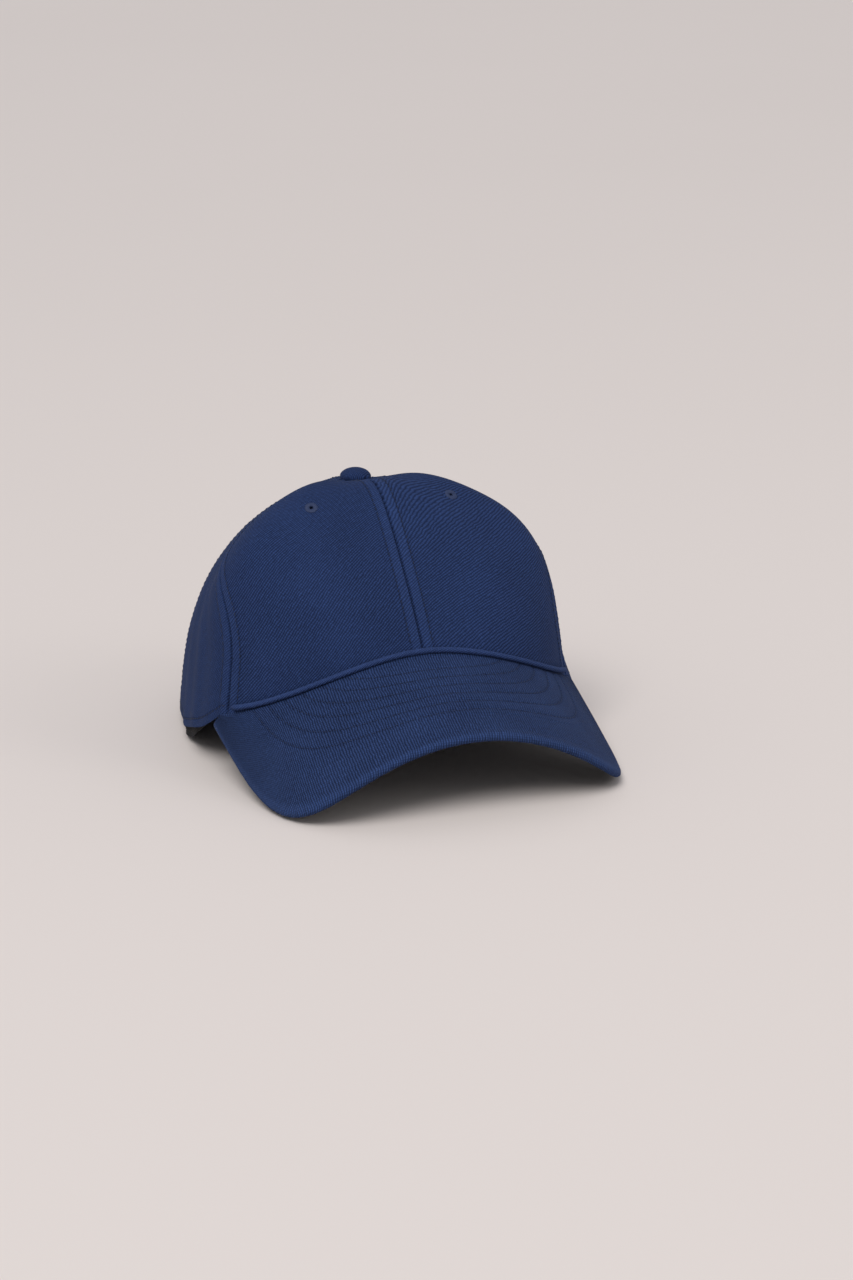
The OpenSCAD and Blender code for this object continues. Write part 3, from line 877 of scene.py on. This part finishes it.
# The seam allowance of the top cloth stands up behind the brow roll
for up, back in ((0.0020, 0.0024), (0.0007, 0.0012)):
    row = []
    for s, start, inner, away in spans:
        q = visor_point(*start.lerp(inner, 0.01), edge_round)[0]
        outward = Vector((q.x, q.y - crown_y, 0)).normalized()
        row.append(q - back * outward + Vector((0, 0, up)))
    top_rows.append(row)
    top_marks.append([0.0] * len(row))
for j in range(visor_rows + 1):
    row, mark, under, under_mark = [], [], [], []
    for i, (s, start, inner, away) in enumerate(spans):
        flat = start.lerp(inner, mix(0.01, 1, j / visor_rows))
        gap = gaps[j][i]
        sunk = sum(hump(gap, r, 0.00042) for r in stitch_rows)
        rolling = 0.0
        if 0.0185 < gap < 0.058:
            rolling = 0.00009 * (1 - math.cos(math.tau * (gap - stitch_rows[0]) / 0.0066))
        soft = 0.00010 * noise.noise(Vector((flat.x * 55, flat.y * 55, 4.0)))
        lip = 0.00022 * hump(gap, 0.0032, 0.0016) - 0.00008 * hump(gap, 0.0060, 0.0008)
        lift = edge_round + rolling + soft + lip - 0.00022 * sunk
        row.append(visor_point(flat.x, flat.y, lift)[0])
        # Colour marks: the top cloth is lighter just inside the edge as rubbed cloth and painted highlight; both
        # cloths are darker along the stitch rows as painted shade
        mark.append(1.0 * hump(gap, 0.0018, 0.0012) - 1.1 * sunk)
        under.append(visor_point(flat.x, flat.y, -0.00185 - soft - rolling + 0.00016 * sunk)[0])
        under_mark.append(-1.0 * sunk)
    top_rows.append(row)
    top_marks.append(mark)
    low_rows.append(list(reversed(under)))
    low_marks.append(list(reversed(under_mark)))
    if j:
        for i, (s, start, inner, away) in enumerate(spans):
            for n, r in enumerate(stitch_rows):
                a, b = gaps[j - 1][i], gaps[j][i]
                if (a - r) * (b - r) <= 0 and a != b:
                    flat = start.lerp(inner, mix(0.01, 1, (j - 1 + (a - r) / (a - b)) / visor_rows))
                    for runs, sign, lift in ((top_runs, 1, edge_round - 0.00012), (low_runs, -1, -0.00173)):
                        q, up = visor_point(flat.x, flat.y, lift)
                        runs[n].append((s, q, up * sign))
for a in (22, 40, 58, 76, 94, 112, 130, 146):
    row, mark = [], []
    for s, start, inner, away in spans:
        rough = 1 + 0.07 * noise.noise(Vector((s * 60, a * 0.02, 8.8)))
        flat = inner + away * edge_round * sin_d(a) * rough
        row.append(visor_point(flat.x, flat.y, edge_round * cos_d(a) * rough)[0])
        # Painted highlight: the wrap round the edge is lighter on top and darker as it turns under
        mark.append(1.1 - a / 110)
    top_rows.append(row)
    top_marks.append(mark)
for a in (176, 168, 158, 148):
    low_rows.append([visor_point(*(inner + away * 0.0016 * sin_d(a) * 1.1 - away * 0.0002), 0.0018 * cos_d(a))[0]
                     for s, start, inner, away in reversed(spans)])
    # Painted highlight: the under cloth is a little lighter round the edge
    low_marks.append([0.3] * len(spans))
visor_top = cloth_grid("visor_top", top_rows, top_marks)
thicken(visor_top, 0.0006)
visor_top.data.materials.append(
    cloth_material("navy_visor_cloth", (0.0028, 0.0066, 0.025), (0.041, 0.080, 0.225), (800, -70, 0),
                   (70, 800, 0), relief=0.0005, wear_and_painted_light_strength=0.16))
visor_under = cloth_grid("visor_under", low_rows, low_marks)
thicken(visor_under, 0.0006)
dark_deep, dark_pale = (0.008, 0.0072, 0.0065), (0.030, 0.027, 0.0245)
visor_under.data.materials.append(
    cloth_material("dark_visor_cloth", dark_deep, dark_pale, (700, -700, 0), (700, 700, 0), wear_and_painted_light_strength=0.05))
for piece, node, slot in ((visor_top, "visor_top_cloth", "navy_cloth"),
                          (visor_under, "visor_under_cloth", "dark_cloth")):
    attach(piece, "cap")
    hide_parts(node)
visor_thread = thread_material("visor_thread", (0.007, 0.014, 0.042), (0.026, 0.048, 0.135))
stitches("visor_stitches", [[(q, n) for s, q, n in sorted(run, key=lambda m: m[0])] for run in top_runs],
         visor_thread, radius=0.00017)
dark_thread = thread_material("dark_thread", (0.006, 0.0056, 0.005), (0.030, 0.028, 0.026))
stitches("visor_under_stitches", [[(q, n) for s, q, n in sorted(run, key=lambda m: m[0])] for run in low_runs],
         dark_thread, radius=0.00019)

# ---------------------------------------------------------------------------
# Buckram: stiff open-weave cotton, fused to the back of each front panel. It is what keeps the
# front standing when the cap is empty, and it is bare inside.
buckram_cloth = cloth_material("buckram_mesh", (0.30, 0.30, 0.285), (0.80, 0.80, 0.77), (620, 0, 0),
                               (0, 620, 0), relief=0.0003, uneven=0.25, roughness=0.8, sheen=0.05, wear_and_painted_light_strength=0.0)
for side, name in ((-1, "left"), (1, "right")):
    rows = []
    for j in range(71):
        row = []
        for i in range(49):
            p = side * mix(1, 58, i / 48)
            t = mix(0.04, 0.93 * top_at(p), rise(j / 70))
            row.append(crown(p, t, 0.0015))
        rows.append(row if side > 0 else list(reversed(row)))
    piece = cloth_grid("buckram_sheet_" + name, rows)
    thicken(piece, 0.0005)
    punch(piece, side * 30)
    piece.data.materials.append(buckram_cloth)
    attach(piece, "cap")
    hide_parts("buckram_" + name)

# ---------------------------------------------------------------------------
# Seam tapes: folded bias strips of dark twill, 14 mm wide, sewn over the pressed seams inside by
# the two rows of stitches that show outside. They start above the sweatband and end at the rivet.


def strip_section(wide, thick, row):
    """The closed cut of a folded strip: thin round edges, and a dent where it is stitched."""
    face = []
    half = wide / 2
    steps = [0, 0.08, 0.25, 0.5, 0.9, row * 1000 - 0.45, row * 1000, row * 1000 + 0.45, row * 1000 + 1.3]
    steps = sorted(set(x for x in steps if x >= 0))
    xs = [-half + e / 1000 for e in steps]
    inner = [mix(xs[-1], -xs[-1], (i + 1) / 8) for i in range(7)]
    for x in xs + inner + [-x for x in reversed(xs)]:
        e = half - abs(x)
        r = thick / 2
        puff = r * math.sqrt(max(1 - (1 - min(e / r, 1)) ** 2, 0)) * (1 - 0.4 * hump(e, row, 0.0004))
        face.append((x, puff))
    return [(x, -y) for x, y in face] + [(x, y) for x, y in reversed(face[1:-1])]


def ribbon(name, stations, section, place):
    """A strip of cloth swept along place(k, across, off), closed at both ends."""
    rows = [[place(i / stations, x, y) for x, y in section] for i in range(stations + 1)]
    piece = cloth_grid(name, rows, ring=True)
    close_ends(piece)
    pick(piece)
    bpy.ops.object.shade_smooth_by_angle(angle=math.radians(60))
    return piece


dark_twill = cloth_material("dark_twill", dark_deep, dark_pale, (560, -560, 0), (560, 560, 0), wear_and_painted_light_strength=0.0)
band_height = 0.030
tape_wide, tape_in, tape_thick = 0.014, 0.0028, 0.0005
tapes = (
    ("tape_front", 0, ("front_left", "front_right")),
    ("tape_front_left", -60, ("front_left", "side_left")),
    ("tape_front_right", 60, ("front_right", "side_right")),
    ("tape_rear_left", -120, ("side_left", "back_left")),
    ("tape_rear_right", 120, ("side_right", "back_right")),
    ("tape_back", 180, ("back_left", "back_right")),
)
tape_runs = []
for node, p, joined in tapes:
    low = (arch_tall + 0.008) if p == 180 else band_height + 0.002

    def on_tape(k, across, off, p=p, low=low):
        t = mix(t_at(p, low), 0.94 * (top_at(p) if abs(p) < 100 else 1), k)
        q = crown_mid(p, t)
        turn = math.degrees(math.atan(across / max(math.hypot(q.x, q.y - crown_y), tape_wide)))
        return crown(p + turn, t, tape_in + tape_thick / 2 + off)

    piece = ribbon("seam_" + node, 90, strip_section(tape_wide, tape_thick, 0.0015), on_tape)
    piece.data.materials.append(dark_twill)
    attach(piece, "cap")
    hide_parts(node)
    for side in (-1, 1):
        run = []
        for j in range(91):
            a, b = on_tape(j / 90, side * 0.0055, tape_thick / 2), on_tape(j / 90, side * 0.0055, 0)
            run.append((a, (a - b).normalized()))
        tape_runs.append(run)
stitches("tape_stitches", tape_runs, dark_thread, radius=0.00018)

# ---------------------------------------------------------------------------
# Sweatband: a folded band of dark twill round the head, with thin foam behind its front part. It is
# sewn to the hem all round, hangs 5 mm below it at the sides and back, and turns inward in front.
foam_in, foam_thick = 0.00235, 0.001
band_thick, band_end = 0.0008, 147


def band_depth(p):
    return mix(foam_in + foam_thick + 0.0002, cloth_thick + 0.0003, smooth((abs(p) - 60) / 14))


def on_band(k, across, off):
    p = mix(-band_end, band_end, k)
    low = mix(0.0015, -band_drop, smooth((abs(p) - 60) / 25))
    h = mix(low, band_height, across / band_height + 0.5)
    pucker = 0.00016 * noise.noise(Vector((p * 0.9, h * 60, 0))) + 0.00008 * math.sin(p * 7.3 + 2 * math.sin(p))
    t = t_at(p, max(h, 0))
    dent = -min(slack(p, crown_mid(p, t), t), 0)
    q = crown(p, t, band_depth(p) + dent + band_thick / 2 + off + pucker) + Vector((0, 0, min(h, 0)))
    q.z = max(q.z, 0.00002)
    return q


sweatband = ribbon("sweat_band", 300, strip_section(band_height, band_thick, 0.0025), on_band)
sweatband.data.materials.append(dark_twill)
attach(sweatband, "cap")
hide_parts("sweatband")
band_runs = []
band_row = 0.5 * band_height - 0.0025
for across, face in ((-band_row, -1), (-band_row, 1), (band_row, 1)):
    run = []
    for j in range(301):
        a, b = on_band(j / 300, across, face * band_thick * 0.32), on_band(j / 300, across, 0)
        run.append((a, (a - b).normalized()))
    band_runs.append(run)
stitches("band_stitches", band_runs, dark_thread, pitch=0.003)

foam_low, foam_high = 0.003, band_height - 0.004
foam_section = [(mix(foam_low, foam_high, i / 10), foam_in) for i in range(11)]
foam_section += [(mix(foam_low, foam_high, 1 - i / 10), foam_in + foam_thick) for i in range(11)]
foam_rows = []
for j in range(91):
    p = mix(-58, 58, j / 90)
    foam_rows.append([crown(p, t_at(p, h), d) for h, d in foam_section])
foam = cloth_grid("sweatband_foam_strip", foam_rows, ring=True)
close_ends(foam)
pick(foam)
bpy.ops.object.modifier_add(type="BEVEL")
foam.modifiers[-1].width, foam.modifiers[-1].segments = 0.0003, 3
foam.modifiers[-1].angle_limit = math.radians(50)
bpy.ops.object.modifier_apply(modifier=foam.modifiers[-1].name)
bpy.ops.object.shade_smooth_by_angle(angle=math.radians(60))
sponge = bpy.data.materials.new("grey_foam")
sponge.use_nodes = True
tree = sponge.node_tree
shader = tree.nodes["Principled BSDF"]
place = tree.nodes.new("ShaderNodeTexCoord")
cells = tree.nodes.new("ShaderNodeTexVoronoi")
cells.inputs["Scale"].default_value = 1500
# Painted shade: the foam is darker in the pits of the same cells that make its bump
shade = tree.nodes.new("ShaderNodeMix")
shade.data_type = "RGBA"
shade.inputs["A"].default_value = (0.30, 0.30, 0.29, 1)
shade.inputs["B"].default_value = (0.58, 0.58, 0.56, 1)
pit = tree.nodes.new("ShaderNodeBump")
pit.inputs["Strength"].default_value = 0.7
pit.inputs["Distance"].default_value = 0.0003
wire(tree, (place.outputs["Object"], cells.inputs["Vector"]),
     (cells.outputs["Distance"], shade.inputs["Factor"]),
     (shade.outputs["Result"], shader.inputs["Base Color"]),
     (cells.outputs["Distance"], pit.inputs["Height"]),
     (pit.outputs["Normal"], shader.inputs["Normal"]))
shader.inputs["Roughness"].default_value = 0.95
foam.data.materials.append(sponge)
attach(foam, "cap")
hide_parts("sweatband_foam")

# ---------------------------------------------------------------------------
# Top button: a pressed metal shell covered with a gathered disc of the crown's cloth, held through
# the middle of the crown by a rivet with a washer inside.
button_r, button_z = 0.0075, crown_height + 0.0012
bpy.ops.object.select_all(action="DESELECT")
bpy.ops.mesh.primitive_uv_sphere_add(segments=72, ring_count=36, radius=button_r, location=(0, 0, 0))
button = bpy.context.object
button.name = "covered_button"
bpy.ops.object.mode_set(mode="EDIT")
bpy.ops.mesh.select_all(action="SELECT")
bpy.ops.mesh.bisect(plane_co=(0, 0, 0.00002), plane_no=(0, 0, 1), clear_inner=True, clear_outer=False)
bpy.ops.mesh.select_all(action="DESELECT")
bpy.ops.mesh.select_mode(type="EDGE")
bpy.ops.mesh.select_non_manifold()
for down, inward in ((-0.0008, 0.985), (-0.0007, 0.93), (-0.0004, 0.84)):
    bpy.ops.mesh.extrude_region_move(TRANSFORM_OT_translate={"value": (0, 0, down)})
    bpy.ops.transform.resize(value=(inward, inward, 1), center_override=(0, 0, 0))
bpy.ops.object.mode_set(mode="OBJECT")
for v in button.data.vertices:
    far = math.hypot(v.co.x, v.co.y) / button_r
    turn = math.atan2(v.co.y, v.co.x)
    if v.co.z > 0:
        v.co.z *= 0.56
    fold = 1 + 0.018 * far**8 * math.cos(14 * turn + 1.5 * math.sin(3 * turn)) + 0.01 * noise.noise(v.co * 400)
    v.co.x, v.co.y = v.co.x * fold, v.co.y * fold
uv = button.data.uv_layers["UVMap"]
uv.name = "cut"
for loop in button.data.loops:
    co = button.data.vertices[loop.vertex_index].co
    uv.data[loop.index].uv = (co.x * 1.2, co.y * 1.2)
button.data.transform(Matrix.Translation((0, crown_y, button_z)))
thicken(button, 0.0006)
button_cloth = cloth_material("navy_button_cloth", navy_deep, navy_pale, (640, -820, 0), (820, 640, 0))
button.data.materials.append(button_cloth)
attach(button, "cap")
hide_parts("button_cover")

# ---------------------------------------------------------------------------
# Arch binding: a bias tape of the crown's cloth folded over the raw edge of the back arch, with one
# row of stitches through both its sides.
binding_path = [
    (0.0050, -0.00010), (0.0048, -0.00028), (0.0042, -0.00032), (0.0036, -0.00018), (0.0030, -0.00032),
    (0.0020, -0.00036), (0.0008, -0.00034), (0.0, -0.00026), (-0.00035, -0.00005), (-0.0005, 0.00045),
    (-0.00035, 0.00095), (0.0, 0.00115), (0.0010, 0.00122), (0.0022, 0.00122), (0.0036, 0.00108),
    (0.0044, 0.00120), (0.0050, 0.00105),
]
binding_section = []
for sign in (1, -1):
    part = []
    for i, (g, d) in enumerate(binding_path):
        a, b = binding_path[max(i - 1, 0)], binding_path[min(i + 1, len(binding_path) - 1)]
        ahead = Vector((b[0] - a[0], b[1] - a[1])).normalized()
        part.append((g + sign * ahead.y * 0.00018, d - sign * ahead.x * 0.00018))
    binding_section += part if sign > 0 else list(reversed(part))


def angle_at(x):
    return 180 - math.degrees(math.asin(x / (half_width * plan_scale(172))))


def on_arch(a, grow, depth):
    x = (arch_half + grow) * math.copysign(abs(sin_d(a)) ** 0.85, a)
    p = angle_at(x)
    return crown(p, t_at(p, (arch_tall + grow) * max(cos_d(a), 0) ** 0.85), depth)


def on_binding(k, grow, depth):
    return on_arch(90 * (2 * k - 1), grow, depth + 0.00004 * math.sin(k * 260))


binding = ribbon("arch_edge_tape", 170, binding_section, on_binding)
binding.data.materials.append(bias_cloth)
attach(binding, "cap")
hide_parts("arch_binding")
run = []
for j in range(171):
    a, b = on_binding(j / 170, 0.0036, -0.00038), on_binding(j / 170, 0.0036, 0.0002)
    run.append((a, (a - b).normalized()))
stitches("binding_stitches", [run], navy_thread)

# ---------------------------------------------------------------------------
# Strap and its loop: the strap is a folded strip of the crown's cloth, 20 mm wide, sewn under the
# left back panel. It runs across the arch, through the clasp, and its tail lies under the right
# panel. A short folded loop, sewn under the right panel, holds the clasp's bar.
strap_mid, strap_in, strap_thick, strap_wide = 0.0155, 0.0023, 0.0012, 0.020


def back_plan(p, depth):
    q = crown(p, t_at(p, strap_mid - band_drop), depth)
    return Vector((q.x, q.y, 0))


def on_strap(k, across, off):
    p = mix(154, 210, k)
    wave = 0.00012 * noise.noise(Vector((k * 14, across * 60, 5.5)))
    return back_plan(p, strap_in + strap_thick / 2 + off + wave) + Vector((0, 0, strap_mid + across))


strap = ribbon("back_strap", 130, strip_section(strap_wide, strap_thick, 0.002), on_strap)
strap_cloth = cloth_material("navy_strap_cloth", navy_deep, navy_pale, (820, 640, 0), (-640, 820, 0), wear_and_painted_light_strength=0.14)
strap.data.materials.append(strap_cloth)
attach(strap, "cap")
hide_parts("strap")
strap_runs = []
for across in (-0.008, 0.008):
    for face in (-1, 1):
        run = []
        for j in range(131):
            a, b = on_strap(j / 130, across, face * strap_thick * 0.34), on_strap(j / 130, across, 0)
            run.append((a, (a - b).normalized()))
        strap_runs.append(run)
stitches("strap_stitches", strap_runs, navy_thread)

loop_path = [(mix(154.0, 168.0, i / 10), 0.0043) for i in range(11)]
loop_path += [(168.9 + 0.75 * sin_d(a), 0.0051 - 0.0008 * cos_d(a)) for a in range(20, 170, 25)]
loop_path += [(mix(168.0, 154.0, i / 10), 0.0059) for i in range(11)]


def on_loop(k, across, off):
    x = k * (len(loop_path) - 1)
    i = min(int(x), len(loop_path) - 2)
    (pa, da), (pb, db) = loop_path[i], loop_path[i + 1]
    p, d = mix(pa, pb, x - i), mix(da, db, x - i)
    a, b = back_plan(pa, da), back_plan(pb, db)
    ahead = (b - a).normalized()
    away = Vector((ahead.y, -ahead.x, 0))
    return back_plan(p, d) + off * away + Vector((0, 0, strap_mid + across))


tab = ribbon("clasp_loop", 54, strip_section(strap_wide - 0.002, 0.0007, 0.002), on_loop)
tab.data.materials.append(strap_cloth)
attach(tab, "cap")
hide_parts("strap_tab")

# ---------------------------------------------------------------------------
# Clasp, button shell and rivet: pressed steel, satin finished along its length, a little brighter
# where it is rubbed. The lever grips the strap and turns on a pin through the frame.
steel = bpy.data.materials.new("satin_steel")
steel.use_nodes = True
tree = steel.node_tree
shader = tree.nodes["Principled BSDF"]
place = tree.nodes.new("ShaderNodeTexCoord")
grain_way = tree.nodes.new("ShaderNodeMapping")
grain_way.inputs["Scale"].default_value = (150, 150, 5200)
grain = tree.nodes.new("ShaderNodeTexNoise")
grain.inputs["Scale"].default_value = 1
grain.inputs["Detail"].default_value = 4
smear = tree.nodes.new("ShaderNodeTexNoise")
smear.inputs["Scale"].default_value = 220
shade = tree.nodes.new("ShaderNodeMix")
shade.data_type = "RGBA"
shade.inputs["A"].default_value = (0.40, 0.395, 0.385, 1)
shade.inputs["B"].default_value = (0.66, 0.65, 0.63, 1)
cut = tree.nodes.new("ShaderNodeBump")
cut.inputs["Strength"].default_value = 0.25
cut.inputs["Distance"].default_value = 0.00005
wire(tree, (place.outputs["Object"], grain_way.inputs["Vector"]),
     (grain_way.outputs["Vector"], grain.inputs["Vector"]),
     (place.outputs["Object"], smear.inputs["Vector"]),
     (grain.outputs["Fac"], shade.inputs["Factor"]),
     (shade.outputs["Result"], shader.inputs["Base Color"]),
     (grain.outputs["Fac"], cut.inputs["Height"]),
     (cut.outputs["Normal"], shader.inputs["Normal"]),
     (arithmetic(tree, "MULTIPLY_ADD", smear.outputs["Fac"], 0.22, 0.24), shader.inputs["Roughness"]))
shader.inputs["Metallic"].default_value = 1.0

plastic = bpy.data.materials.new("dark_board")
plastic.use_nodes = True
tree = plastic.node_tree
shader = tree.nodes["Principled BSDF"]
place = tree.nodes.new("ShaderNodeTexCoord")
mould = tree.nodes.new("ShaderNodeTexNoise")
mould.inputs["Scale"].default_value = 900
shade = tree.nodes.new("ShaderNodeMix")
shade.data_type = "RGBA"
shade.inputs["A"].default_value = (0.016, 0.017, 0.020, 1)
shade.inputs["B"].default_value = (0.028, 0.029, 0.033, 1)
wire(tree, (place.outputs["Object"], mould.inputs["Vector"]), (mould.outputs["Fac"], shade.inputs["Factor"]),
     (shade.outputs["Result"], shader.inputs["Base Color"]),
     (arithmetic(tree, "MULTIPLY_ADD", mould.outputs["Fac"], 0.2, 0.4), shader.inputs["Roughness"]))
finishes = {"buckle_frame": steel, "buckle_pin": steel, "buckle_lever": steel, "button_shell": steel,
            "button_rivet": steel, "visor_board": plastic}
for node, finish in finishes.items():
    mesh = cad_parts[node].data
    mesh.materials.clear()
    mesh.materials.append(finish)
